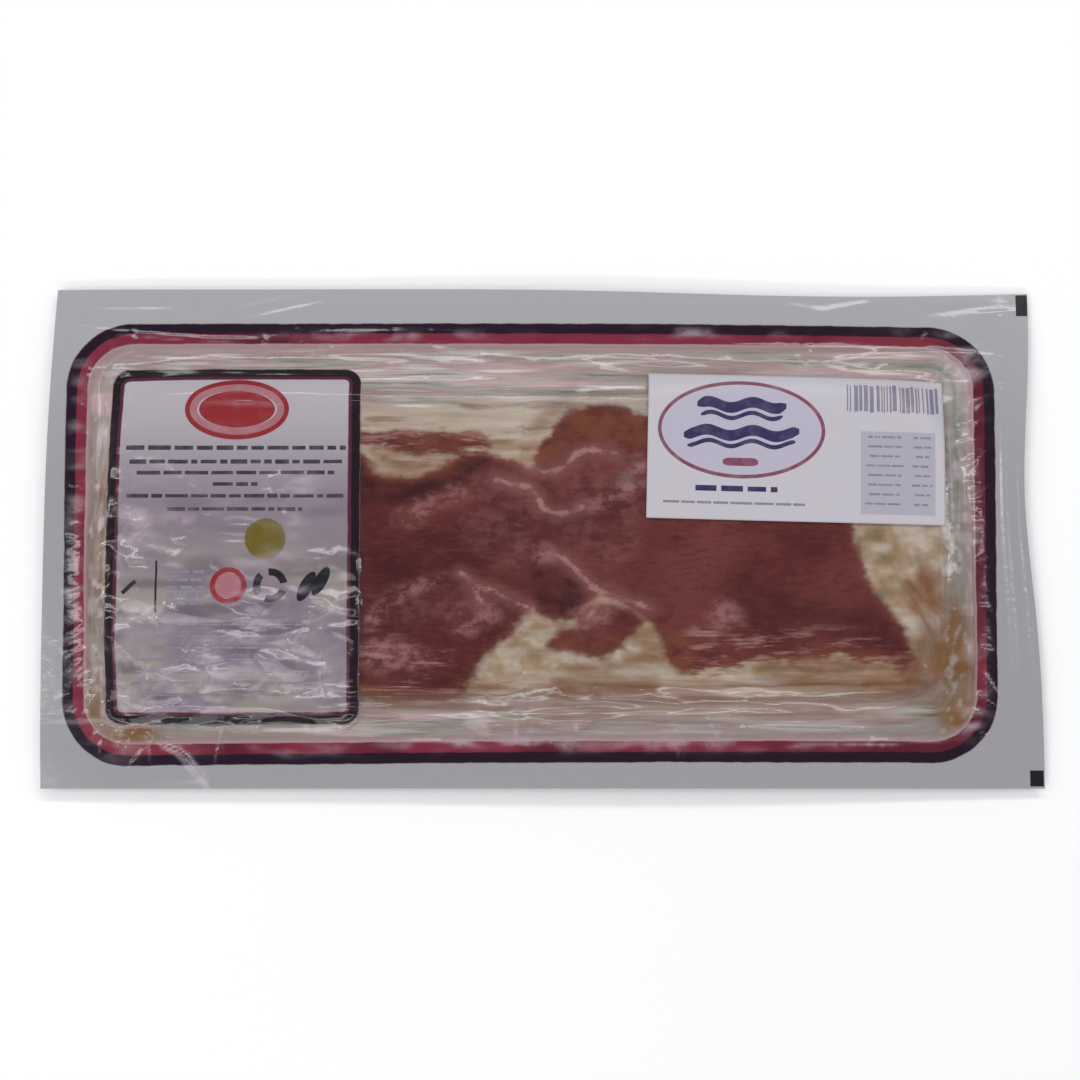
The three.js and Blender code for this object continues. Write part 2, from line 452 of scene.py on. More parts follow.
def frameColorAndCover(n, x, y, wobble):
    look = filmLook
    spot = rampSpot(n, n.plus(n.value("frameDepth"), wobble))
    # streaks that run along the frame all round
    alongFrame = n.make("CombineXYZ", {
        0: n.times(x, 24), 1: n.times(y, 24), 2: n.times(n.value("frameDepth"), 0.42)}).outputs[0]
    hazeColor = n.ramp(n.texture(alongFrame, 3, 0.6), [
        (0.34, look["greenish"]), (0.44, look["hazeAndGlare"]), (0.54, look["pinkSheen"]), (0.64, look["white"])])
    hazeColor = n.mix(n.remap(x, 0.102, 0.11, 0, 0.55), hazeColor, look["greenish"])
    # the red is deeper in patches, most at the right, and least at the left and along the top
    paler = n.highest(n.remap(x, -0.112, -0.118), n.remap(y, 0.048, 0.053))
    deeper = n.math("SUBTRACT", n.noise((30, 30, 20), detail=2), n.times(paler, 0.1))
    deeper = n.plus(deeper, n.remap(x, 0.1, 0.115, 0, 0.12))
    red = n.mix(n.remap(deeper, 0.42, 0.62), look["red"], look["redDeep"])
    outer, inner = map(onRamp, look["edge"])
    color = n.ramp(spot, [(outer, look["rim"]), (inner, look["navy"])])
    color = n.mix(n.remap(spot, *map(onRamp, look["toRed"])), color, red)
    # a painted pink highlight along the inner edge of the red band
    color = n.mix(n.remap(spot, *map(onRamp, look["toPinkSheen"])), color, look["pinkSheen"])
    color = n.mix(n.remap(spot, *map(onRamp, look["toHaze"])), color, hazeColor)
    bandEnd, pinkSheenFrom, clearFrom = map(onRamp, look["coverThins"])
    cover = n.ramp(spot, [
        (outer, grey(look["rimCover"])), (inner, grey(look["bandCover"])),
        (bandEnd, grey(look["bandCover"])), (pinkSheenFrom, grey(look["pinkSheenCover"])), (clearFrom, grey(0))])
    # the film's haze, raised where painted highlights lie
    cover = n.highest(cover, n.value("hazeAndGlare"))
    # painted light: the rim turns paler away from the reader
    litFartherRim = n.times(n.remap(y, 0.0, 0.06), n.remap(n.value("frameDepth"), 0.0, -0.4))
    color = n.mix(litFartherRim, color, look["rimLit"])
    smeared = n.times(n.value("juice"), n.remap(n.noise((80, 130, 60)), 0.3, 0.6, 0.6, 1))
    return n.mix(smeared, color, look["juice"]), cover


def panelColorAt(n, y, wobble):
    look = filmLook
    spot = rampSpot(n, n.plus(n.value("panelDepth"), wobble))
    borderEnd, lineFrom = map(onRamp, look["toLine"])
    lineEnd, fillFrom = map(onRamp, look["toFill"])
    color = n.ramp(spot, [
        (borderEnd, look["panelBorder"]), (lineFrom, look["panelLine"]), (lineEnd, look["panelLine"]),
        (fillFrom, look["panelFill"])])
    onFill = n.remap(n.value("panelDepth"), *look["ontoFill"])
    upness = n.remap(y, 0.0, 0.04)
    color = n.mix(n.times(upness, onFill), color, look["panelPale"])
    patches = n.times(n.remap(n.noise((36, 60, 20)), 0.42, 0.6, 0, 0.75), onFill)
    lowness = n.remap(y, 0.012, -0.02)
    color = n.mix(n.times(patches, lowness), color, look["panelWarm"])
    return n.mix(n.value("shade"), color, look["panelShade"])


def makeFilm():
    n = Nodes("printed_film")
    look = filmLook
    x, y = n.places()[:2]
    wobble = n.times(n.centred(n.noise((220, 220, 60))), look["wobble"])
    frameColor, frameCover = frameColorAndCover(n, x, y, wobble)
    onPanel = n.remap(n.plus(n.value("panelDepth"), wobble), *look["edge"])
    color = n.mix(onPanel, frameColor, panelColorAt(n, y, wobble))
    cover = n.mix(onPanel, frameCover, grey(look["panelCover"]))
    # rubbed white creases, and painted highlights
    color = n.mix(rubbedAndGlintShare(n, 1), color, look["scuffedAndGlinting"])
    relief = n.noise((260, 420, 100), detail=2, roughness=0.5)
    return n.finish(addFilmShader(n, color, cover, look, relief))


underLook = {
    "film": screen(160, 152, 146), "rim": screen(150, 148, 152), "pale": screen(184, 178, 172),
    "greenish": screen(142, 146, 134), "cream": screen(176, 158, 126), "juice": screen(136, 98, 48),
    "cover": 0.9, "roughness": 0.25, "gloss": 0.8,
    "juiceAt": ((0.113, -0.046), (0.112, -0.034), (-0.113, -0.05)), "juiceReach": 0.015,
}


def makeUnderFilm():
    n = Nodes("clear_film")
    look = underLook
    spot = n.spot()
    streaks = n.noise((20, 330, 60))
    color = n.mix(n.remap(streaks, 0.4, 0.62), look["film"], look["pale"])
    color = n.mix(n.remap(streaks, 0.46, 0.3, 0, 0.6), color, look["greenish"])
    color = n.mix(n.remap(n.noise((26, 260, 30)), 0.52, 0.64, 0, 0.7), color, look["cream"])
    for x, y in look["juiceAt"]:
        gap = n.make("VectorMath", {0: spot, 1: (x, y, 0.001)}, operation="DISTANCE").outputs["Value"]
        near = n.remap(gap, look["juiceReach"], 0.003, 0, 0.9)
        patchy = n.remap(n.noise((180, 220, 60), detail=4), 0.38, 0.62)
        color = n.mix(n.times(near, patchy), color, look["juice"])
    color = n.mix(n.remap(n.value("frameDepth"), 6, 5), color, look["rim"])  # the back of the print shows
    return n.finish(addFilmShader(n, color, look["cover"], look, n.noise((400, 400, 100))))


paperLook = {"color": screen(186, 183, 192), "warm": screen(190, 182, 188), "roughness": 0.42}


def makePaper():
    n = Nodes("sticker_paper")
    color = n.mix(n.remap(n.noise((90, 90, 40)), 0.35, 0.65), paperLook["color"], paperLook["warm"])
    fibre = n.noise((1500, 1500, 300), detail=2)
    bump = n.make("Bump", {"Height": fibre, "Strength": 0.15, "Distance": 0.0001}).outputs[0]
    surface = n.make("BsdfPrincipled", {
        "Base Color": color, "Roughness": paperLook["roughness"], "Normal": bump})
    return n.finish(surface.outputs[0])


inkLook = {"faded": 0.45, "roughness": 0.4, "shine": 0.3}


# Ink of that colour, which fades in patches by that share, and takes the rubbed white and painted highlights
# of the film under it
def makeInk(name, color, spread):
    n = Nodes(name)
    paler = tuple(c + (inkLook["faded"] - c) * spread for c in color[:3]) + (1,)
    worn = n.mix(n.remap(n.noise((260, 260, 100)), 0.4, 0.8), color, paler)
    surface = n.make("BsdfPrincipled", {
        "Base Color": n.mix(rubbedAndGlintShare(n, 0.9), worn, filmLook["scuffedAndGlinting"]),
        "Roughness": inkLook["roughness"], "Specular IOR Level": inkLook["shine"]})
    return n.finish(surface.outputs[0])


meat = makeMeat()
film = makeFilm()
underFilm = makeUnderFilm()
paper = makePaper()
print("materials made")

# The slices, in two stacks side by side

slices = {
    "count": 5, "thickness": 1.8,
    "edge": 2.4, "edgeShare": 0.25,  # over how much of its edge a slice thins out, and down to what share
    "leanRise": 0.25, "seamDip": 0.06, "seamWidth": 1.0, "surfaceWaves": 0.03,
    "thinnest": 0.03, "gapBelow": 0.02,
    "span": 0.8, "stiffness": 1.2,  # how a slice goes over the edges of those below it
    "ragged": 0.4, "raggedBelow": 0.07, "meetingWaves": 0.7,
    "leanInset": 9, "leanWaves": 1.4,  # how far inside its outline the lean of a slice below starts
    # The fat's layers lie along the pack, but round the lean at its right end and along its left end.
    # The shifts let them go on there at the same depths.
    "roundLean": (78, 88), "leanShift": 36, "alongEnd": (106, 114), "endShift": 46, "layerWaves": 0.5,
    "widening": 0.021, "wideningFrom": -3, "reachingOut": 0.5, "shortening": 0.01,
    "between": [(-16, 40.5), (0, 41), (16, 40.5), (16, -45), (0, -45), (-16, -45.3)],
    "meet": -1.0, "taper": 4.0,  # where the two stacks meet along X, and over how much they thin out there
    "turn": math.radians(0.5),
    "insets": (3.4, 2.3, 1.2, -0.3, -2.0),  # by how much a slice is smaller than the film's form over it
    "right": [
        (-8, 17), (-8, 29), (-4, 37.5), (8, 40.5), (32, 41.5), (60, 42), (84, 41), (101, 36), (109, 24),
        (112.5, 4), (114, -20), (111, -37), (98, -43.5), (72, -45), (42, -45.5), (16, -45), (0, -43),
        (-6, -35), (-8, -20), (-8.5, 0)],
    "left": [
        (6.5, 14), (6, 29), (2, 37.5), (-12, 41), (-44, 42), (-80, 43), (-104, 40), (-115, 29), (-120, 8),
        (-120, -16), (-115, -35), (-100, -43), (-72, -45), (-42, -46), (-16, -45.5), (0, -42.5), (6, -32),
        (6.5, -8)],
}

# What shows on the upper slices: outlines of lean, pale seams in it, places of other colours, and of painted
# sheen
pattern = {
    "lean": [
        [(-110, 8), (-92, 17), (-64, 20), (-49, 21), (-44.5, 17.5), (-40, 15), (-35, 14.5), (-29.5, 16.5),
         (-25, 19), (-21, 21.5), (-17, 22), (-13, 20.8), (-9, 18.8), (-4, 18), (3, 15), (4, -8), (1, -21),
         (-6, -19), (-24, -13), (-48, -20), (-90, -24), (-108, -12)],
        [(-98, -32), (-70, -22), (-48, -16), (-30, -9), (-12, -13), (-1, -19.5), (-3, -21.5), (-6, -24.5),
         (-9, -28), (-13, -32.5), (-16, -36), (-19, -40), (-21.5, -44), (-25, -46.5), (-31, -47),
         (-41, -46.5), (-52, -43), (-76, -40)],
        [(-62, 26), (-49, 27), (-38, 27), (-28, 27), (-19, 26.5), (-13.5, 23.5), (-18, 21.5), (-24, 20.6),
         (-31, 21), (-37, 21.5), (-43, 23.8), (-50, 24)],
        [(-3.5, 16), (-1.5, 22), (2, 27), (5.5, 31), (10, 34), (15, 35.2), (20, 34.4), (25, 32.5), (31, 31.5),
         (48, 31.5), (66, 30), (76, 20), (81, 8), (83.5, 0), (85, -6), (87, -13), (90, -18), (93.5, -22.5),
         (96.5, -26.5), (99, -31), (99.5, -35), (95.5, -37), (91, -35), (86, -35.8), (80, -34), (72, -34),
         (64, -35.3), (56, -35), (50, -36.8), (44, -38.4), (38, -38.2), (34.5, -36), (32.5, -31.5),
         (30, -26.5), (26, -22.5), (16, -17), (9.5, -23.2), (3, -23.4), (-2, -20.5), (-5, -8), (-6, 6)],
        [(1.5, -30.5), (5, -27), (9, -25.5), (12, -20), (22, -20), (27.5, -24), (24, -28.5), (19.5, -32),
         (14, -33.4), (9, -32.6), (5, -31.8)],
    ],
    "brown": [
        [(-2, 19), (1, 25.5), (5, 30.5), (10, 34), (15, 35), (21, 34), (30, 31), (30, 24), (18, 24),
         (9, 23.5), (5, 19)],
        [(3, -31), (8, -28), (15, -28.5), (21, -28), (18, -32.5), (12, -33), (6, -32)],
        [(-50, -41), (-38, -42.5), (-27, -43), (-21, -40), (-22, -46), (-30, -47.5), (-42, -47), (-50, -45)],
        [(36, -36.5), (50, -34.5), (62, -33), (76, -31.5), (88, -32.5), (98, -33), (96, -37), (70, -36),
         (50, -38), (40, -39)],
        [(33, -28), (38, -27), (41, -33), (38, -38), (34, -35)],
        [(-50, 26.5), (-38, 26), (-28, 26.5), (-18, 26), (-18, 22.5), (-30, 22), (-42, 24), (-50, 24)],
    ],
    "dark": [
        [(-50, 20), (-44, 15.5), (-38, 13.5), (-30, 15), (-24, 18.5), (-18, 21), (-14, 20), (-17, 16.5),
         (-24, 12), (-32, 9), (-42, 8), (-50, 9)],
        [(-1, -8), (5, -9.5), (10, -13.5), (11, -18), (8, -23), (2, -22), (-1.5, -16)],
    ],
    "dusky": [
        [(-42, -3), (-30, -2), (-29, -11), (-41, -13)],
        [(52, -17), (62, -16), (76, -19), (87, -21), (93, -26), (88, -29.5), (70, -27.5), (58, -26)],
    ],
    # mauve smears, partly the lean's own and partly painted sheen
    "mauveAndSheen": [
        [(-38.5, 3.5), (-35, 6.5), (-31, 8), (-29.5, 7.5), (-31, 4.5), (-34.5, 2.4)],
        [(-30, 8.6), (-26, 10), (-22.5, 12.2), (-20.8, 10.8), (-24.5, 8.6), (-28, 7.6)],
        [(-23.5, -22), (-20, -20), (-15, -19.5), (-11.5, -22), (-14, -25), (-19, -26.8), (-23, -26)],
        [(9, -21), (13, -19.5), (18, -20), (17, -24), (12, -26.5), (9.5, -24)],
        [(-48, -31), (-41, -29.5), (-34, -31), (-30, -34.5), (-36, -36.5), (-46, -36)],
        [(-48, -25), (-43, -20), (-38, -16.5), (-32, -13.5), (-28, -13.5), (-34, -16.5), (-40, -20.5),
         (-45, -26)],
        [(10, 6.5), (14, 8.5), (19, 11), (23, 15), (27, 20), (27, 12.5), (22, 9.5), (15, 6.2)],
        [(44.5, -23.5), (48, -19.3), (51, -20.5), (53, -24), (49, -25.5)],
        [(-1.5, -5), (2, -4.6), (3.5, -7), (-1, -7.6)],
    ],
    # painted sheen on the lean
    "pinkSheen": [
        [(-22, 14), (-14, 17), (-6, 16), (-1, 10), (-1, 2), (-4, -8), (-12, -9), (-20, -2)],
        [(4, 3), (12, 7), (22, 11), (28, 6), (28, -2), (20, -9), (10, -7)],
        [(-44, -17), (-34, -13), (-26, -14), (-24, -20), (-32, -24), (-42, -22)],
        [(4, 12), (9, 18), (20, 20), (29, 21), (29, 14), (18, 11), (10, 8)],
    ],
    "flecks": [
        [(40, -25.5), (60, -27), (76, -26.5), (92, -29), (99, -32), (99, -40), (70, -39.5), (40, -39)],
        [(-48, -29), (-38, -28), (-28, -31), (-20, -33), (-22, -42), (-34, -44), (-48, -43)],
        [(-48, 27), (-30, 27.5), (-14, 26), (-14, 21.5), (-30, 20.5), (-48, 23)],
    ],
    "stain": [
        [(95.5, -10), (99, -13), (103, -21), (108, -21), (111, -26), (110.5, -38), (108, -44), (100, -43.5),
         (93, -39), (99, -33), (101, -27), (98, -18)],
        [(84, -40.3), (100, -39.5), (101, -43.5), (86, -43.3)],
        [(3, -39.5), (15, -40), (31, -41), (30, -44.5), (12, -45), (2, -44)],
        [(-50, -42), (-38, -42.5), (-27, -42), (-20, -44), (-21, -49), (-34, -50), (-50, -50)],
        [(101, -17.5), (106, -16.5), (111, -18), (112, -24), (110.5, -30), (106, -29), (102.5, -24)],
        [(100.5, -8.5), (102.5, -9), (105, -16), (104.5, -21), (101.5, -17)],
        [(-46, 22.5), (-41, 21.5), (-36, 20), (-28, 19.8), (-24, 19.5), (-28, 17.5), (-34, 16), (-40, 17)],
        [(104, -19), (111, -21), (118, -30), (118, -44), (112, -51), (104, -50), (102, -44), (108, -38)],
        [(-118, -44), (-108, -48), (-106, -53), (-114, -53), (-119, -50)],
    ],
    "tinge": [
        [(58, -35.5), (80, -34.5), (99, -36), (101, -44.5), (84, -45.5), (70, -42.5), (58, -40)],
        [(4, -43.2), (20, -43.2), (60, -43.8), (90, -44), (90, -46), (60, -46.4), (20, -46), (4, -45.6)],
        [(8, -37), (22, -34), (32, -29), (34, -36), (28, -40), (12, -40)],
        [(-46, 19), (-34, 17.5), (-22, 21), (-24, 16), (-34, 14), (-46, 15)],
        [(-4, 19), (2, 28), (9, 35.5), (22, 36), (30, 33), (30, 36), (16, 38.5), (4, 36), (-5, 25)],
    ],
    "juice": [
        [(102, -38), (106, -24), (111, -20), (114, -30), (117, -40), (118, -47), (113, -53), (106, -50),
         (107, -44)],
        [(-124, -36), (-118, -41), (-113, -47), (-103, -50), (-103, -56), (-116, -57), (-124, -48)],
    ],
    "seams": [
        [(-3.5, 17.2), (0, 16.3), (3.5, 16.2), (6.5, 17.8), (9, 20.6), (12, 22), (16, 22), (20, 21.3)],
        [(-12, 14), (-7, 12.8), (-3, 12), (-0.5, 9), (0.5, 6), (4, 4.8), (8, 5.2), (11, 6.8)],
        [(-21.5, -11.3), (-19, -13), (-16.5, -14.8), (-12, -16), (-8, -18.2), (-4, -20.2)],
        [(-19.5, -13.5), (-17.5, -16.5), (-15.8, -19)],
        [(2, -5.8), (6, -7), (9, -10), (12, -13.2), (15, -15.8), (20, -17.4), (25, -19), (29, -20.8)],
        [(13, -14.5), (16, -17.2), (15, -20), (12.5, -23)],
    ],
}


def sliceOutline(points, outerX, under):
    trim = 1 - slices["shortening"] * under
    turn = slices["turn"] * (1 if under % 2 else -1)
    outward = slices["reachingOut"] * under * (1 if outerX > 0 else -1)
    middle = slices["wideningFrom"]
    placed = [(
        outerX + (x - outerX) * trim + outward - y * turn,
        middle + (y - middle) * (1 + slices["widening"] * under) + (x - outerX / 2) * turn,
    ) for x, y in points]
    return smoothOutline(placed)


def union(outlines):
    return np.maximum.reduce([depthInside(smoothOutline(outline)) for outline in outlines])


def nearestSeam(seams):
    return np.minimum.reduce([distanceTo(seam) for seam in seams])


sideEnds = {"left": -120, "between": 0, "right": 114}
formDepths = [
    np.maximum.reduce([depthInside(sliceOutline(slices[part], end, under)) for part, end in sideEnds.items()])
    for under in range(slices["count"])]
wholeDepth = np.maximum.reduce(formDepths)
leanDepth = union(pattern["lean"])
lowerLobe = union(pattern["lean"][1:2])  # goes on over the edges of the slices below
stained = np.maximum(0.95 * smoothstep(union(pattern["stain"]), -2, 2),
                     0.5 * smoothstep(union(pattern["tinge"]), -2, 2))

# The bottom film lies just off the table under the meat, and rises to the rim round it
underRise = {"from": -5, "to": 3, "sealedGap": 0.12, "offTable": 0.05, "meatGap": 0.1}
rimZ = rimTop(sheetX, sheetY)
tucked = smoothstep(wholeDepth, underRise["from"], underRise["to"])
underZ = (rimZ - underRise["sealedGap"]) * (1 - tucked) + underRise["offTable"]


# Cells of an outline, with the outermost points drawn onto it
def trimmed(depth, every):
    depth = depth[::every, ::every]
    x, y = sheetX[::every, ::every].copy(), sheetY[::every, ::every].copy()
    cells = (depth[1:, 1:] + depth[1:, :-1] + depth[:-1, 1:] + depth[:-1, :-1]) > 0
    around = np.pad(cells, 1)
    full = around[1:, 1:] & around[1:, :-1] & around[:-1, 1:] & around[:-1, :-1]
    onEdge = ~full
    slopeY, slopeX = np.gradient(depth, step * every)
    steepness = np.hypot(slopeX, slopeY) + 1e-6
    x[onEdge] -= (depth * slopeX / steepness)[onEdge]
    y[onEdge] -= (depth * slopeY / steepness)[onEdge]
    return x, y, cells


# Where the colours of an upper slice lie
def upperMarks(seam):
    return {
        "lean": leanDepth,
        "seam": seam,
        "brown": 0.85 * smoothstep(union(pattern["brown"]), -2.2, 2.2),
        "dark": np.maximum(0.9 * smoothstep(union(pattern["dark"]), -2.5, 2),
                           0.4 * smoothstep(union(pattern["dusky"]), -4, 3)),
        # mauve, partly painted sheen, and fainter painted sheen where the film shines
        "mauveAndSheen": np.maximum(smoothstep(union(pattern["mauveAndSheen"]), -3.2, 1.2),
                            0.3 * smoothstep(union(pattern["pinkSheen"]), -4, 3)),
        "flecks": smoothstep(union(pattern["flecks"]), -3, 3),
    }


# And those of a slice below, of which little more than the edge shows
def lowerMarks(depth, under):
    none = np.zeros(depth.shape)
    return {
        "lean": np.maximum(
            depth - slices["leanInset"] - slices["leanWaves"] * ripples(18, 10), lowerLobe - under),
        "seam": np.full(depth.shape, 9.0),
        "brown": 0.3 * smoothstep(ripples(8, 8), 0, 1.5),
        "stain": np.maximum(stained, 0.6 * smoothstep(ripples(16, 3), 1.5, 3.0)),
        "dark": none, "mauveAndSheen": none, "flecks": none,
    }


# Lays one slice on what is there, and gives the heights with it
def laySlice(side, under, restZ, outline, meeting):
    outward = 1 if side == "right" else -1
    fromMeeting = (sheetX - meeting) * outward
    depth = np.minimum(outline, fromMeeting + slices["taper"])
    bridged = blur(grow(restZ, slices["span"]), slices["stiffness"], slices["stiffness"])
    lifted = np.maximum(restZ, bridged) - restZ
    bedZ = restZ + lifted * smoothstep(fromMeeting, -slices["taper"], 0)
    crown = slices["edgeShare"] + (1 - slices["edgeShare"]) * smoothstep(outline, 0, slices["edge"])
    body = slices["thickness"] * crown * smoothstep(fromMeeting, -slices["taper"], slices["taper"])
    atRight, atLeft = smoothstep(sheetX, *slices["roundLean"]), smoothstep(-sheetX, *slices["alongEnd"])
    layer = sheetY + atRight * (leanDepth - slices["leanShift"] - sheetY)
    layer = layer + atLeft * (outline - slices["endShift"] - layer) + slices["layerWaves"] * ripples(8, 8)
    offEdge = smoothstep(depth, 0, 3)
    if under == 0:
        seam = nearestSeam(pattern["seams"])
        leanRise = slices["leanRise"] * smoothstep(leanDepth, -2.5, 2.5)
        body = body + (leanRise - slices["seamDip"] * hump(seam, slices["seamWidth"])) * offEdge
        marks = upperMarks(seam)
    else:
        marks = lowerMarks(depth, under)
    values = {"rim": np.maximum(outline, 0), "layer": layer, "stain": stained, **marks}
    waves = slices["surfaceWaves"] * ripples(6, 6) * offEdge
    topZ = bedZ + np.maximum(body + waves, slices["thinnest"])
    every = 1 if under == 0 else 2  # the upper slices get the finer mesh
    x, y, cells = trimmed(depth, every)
    above = np.stack([x, y, topZ[::every, ::every]], 2)
    below = np.stack([x, y, bedZ[::every, ::every] + slices["gapBelow"]], 2)
    thinned = {key: value[::every, ::every] for key, value in values.items()}
    addBody(f"{side}_slice_{slices['count'] - under}", above, below, cells, thinned, meat)
    return np.where(depth > -step, np.maximum(restZ, topZ), restZ)


meatZ = underZ + underRise["meatGap"]
for under in reversed(range(slices["count"])):
    ragged = (slices["ragged"] + slices["raggedBelow"] * under) * ripples(13, 8)
    outline = formDepths[under] - slices["insets"][under] + ragged
    meeting = slices["meet"] + slices["meetingWaves"] * ripples(9, 9)
    for side in ("left", "right"):
        meatZ = laySlice(side, under, meatZ, outline, meeting)
print("slices laid, up to", round(float(meatZ.max()), 2), "mm")

# The film over them, with its creases

bands = {
    "middle": (-2.85, -1.55), "size": (251.2, 119.5), "radius": 18,
    "spread": 0.0088, "flare": 0.0082,  # wider at the left end, and longer away from the reader
    "sag": 0.6,  # lower at both ends
}
panel = {"middle": (-82.35, -3.1), "size": (67.8, 96.2), "radius": 4.5, "slant": 0.0052}
sticker = {
    "middle": (68.6, 22.6), "size": (80, 40), "turn": math.radians(-1.5), "corner": 0.5,
    "thickness": 0.12, "gap": 0.15, "cells": (120, 60),
    "span": 2.0, "stiffness": 2.2,  # how far about a point the film holds the paper up, and evened how far
}
crumples = {
    "bandStreak": 0.095, "fat": 0.085, "panel": 0.09, "panelRidge": 0.55, "lean": 0.016, "rim": 0.06,
    "underSticker": 0.85,  # of them all is pressed flat there
}
# Each kind's places, directions and measures are drawn from these ranges
creases = {
    "long": {
        "count": 64, "strips": ((33, 56), (-56, -41)), "inFirst": 0.55, "fainter": 1, "x": (-112, 108),
        "towards": 0, "turn": 0.03, "length": (25, 95), "halfWidth": (0.5, 1.0), "height": (0.12, 0.42),
        "bow": 1.5},
    "band": {
        # "sides" are the shares at the farther, nearer, right and left side
        "count": 170, "sides": (0.2, 0.28, 0.22, 0.3), "inset": 3, "inward": (-1, 7), "fromCorner": 4,
        "fan": (0.5, 0.7), "atLeft": 0.5,
        "turn": 0.25, "length": (5, 15), "halfWidth": (0.35, 0.7), "height": (0.08, 0.3), "bow": 0.6},
    "panel": {
        "count": 150, "strips": ((-49, -20), (-20, 27)), "inFirst": 0.6, "fainter": 0.8, "x": (-114, -50),
        "towards": 0.15, "turn": 0.5, "length": (5, 24), "halfWidth": (0.4, 0.8), "height": (0.08, 0.3),
        "bow": 1.5},
    "fat": {
        "count": 150, "x": (-48, 116), "y": (-50, 46), "leastFat": 0.4,
        "turn": 0.6, "length": (4, 16), "halfWidth": (0.4, 0.8), "height": (0.08, 0.28), "bow": 1},
    "rim": {
        "count": 26, "x": (-128, 126), "y": (-64, 63),
        "turn": 0.15, "length": (10, 40), "halfWidth": (0.8, 1.8), "height": (-0.25, 0.3)},
    # Place, direction, length, half width and height of the near left corner's two folds
    "cornerFolds": [(-92, -62.5, -0.85, 15, 0.9, 0.8), (-99, -57, -0.5, 14, 0.6, 0.5)],
    # and the ridges along the right edge
    "sealRidges": [(125.5, 0.25), (128.6, -0.2), (131, 0.15)], "ridgeLength": 150, "ridgeHalfWidth": 0.6,
}
films = {
    "meatGap": 0.2, "stretch": 1.9, "blend": 2.0,  # how the top film goes over the slices' edges
    "leastGap": 0.08, "leastBlend": 0.12,
    "apart": 0.07, "sealed": (5, 9),  # from where, outside the meat, the films lie on each other
}


def roundedDepth(x, y, size, radius):
    qx, qy = abs(x) - size[0] / 2 + radius, abs(y) - size[1] / 2 + radius
    return radius - np.hypot(np.maximum(qx, 0), np.maximum(qy, 0)) - np.minimum(np.maximum(qx, qy), 0)


def frameDepthAt(x, y):
    x, y = x - bands["middle"][0], y - bands["middle"][1]
    toEnd, toSide = x * 2 / bands["size"][0], y * 2 / bands["size"][1]
    y = (y + bands["sag"] * toEnd**2) * (1 + bands["spread"] * toEnd)
    return roundedDepth(x * (1 - bands["flare"] * toSide), y, bands["size"], bands["radius"])


def addCrease(field, x, y, angle, length, halfWidth, height, bow=0.0):
    reach = length / 2 + 3 * halfWidth
    rows = slice(*np.searchsorted(sheetV[:, 0], (y - reach, y + reach)))
    columns = slice(*np.searchsorted(sheetU[0], (x - reach, x + reach)))
    along, across = turned(sheetU[rows, columns] - x, sheetV[rows, columns] - y, -angle)
    along = along * 2 / length
    across = across - bow * along**2
    fade = np.clip(1 - along**2, 0, 1)
    field[rows, columns] += height * fade / (1 + (across / halfWidth) ** 2) ** 2


# A crease at that spot, drawn at random from its kind's ranges
def randomCrease(field, kind, x, y, towards, share=1):
    addCrease(field, x, y, towards + rng.normal(0, kind["turn"]), rng.uniform(*kind["length"]),
              rng.uniform(*kind["halfWidth"]), rng.uniform(*kind["height"]) * share,
              rng.normal(0, kind["bow"]) if "bow" in kind else 0)


# Creases in two strips along the pack, those in the second perhaps fainter
def creaseStrips(field, kind):
    for _ in range(kind["count"]):
        inFirst = rng.random() < kind["inFirst"]
        y = rng.uniform(*kind["strips"][0 if inFirst else 1])
        share = 1 if inFirst else kind["fainter"]
        randomCrease(field, kind, rng.uniform(*kind["x"]), y, kind["towards"], share)


# Short creases across the printed frame, which fan out at its corners
def creaseBand(field, kind):
    halfLength, halfWidth = (side / 2 - kind["inset"] for side in bands["size"])
    for _ in range(kind["count"]):
        side = rng.choice(4, p=kind["sides"])
        inward = rng.uniform(*kind["inward"])
        sign = 1 if side in (0, 2) else -1
        if side < 2:
            x = rng.uniform(-halfLength + kind["fromCorner"], halfLength - kind["fromCorner"])
            y = (halfWidth - inward) * sign
            towards = math.pi / 2 - x / halfLength * kind["fan"][0] * sign
        else:
            y = rng.uniform(-halfWidth + kind["fromCorner"], halfWidth - kind["fromCorner"])
            x = (halfLength - inward) * sign
            towards = y / halfWidth * kind["fan"][1] * sign
        share = kind["atLeft"] if side == 3 else 1
        randomCrease(field, kind, x + bands["middle"][0], y + bands["middle"][1], towards, share)


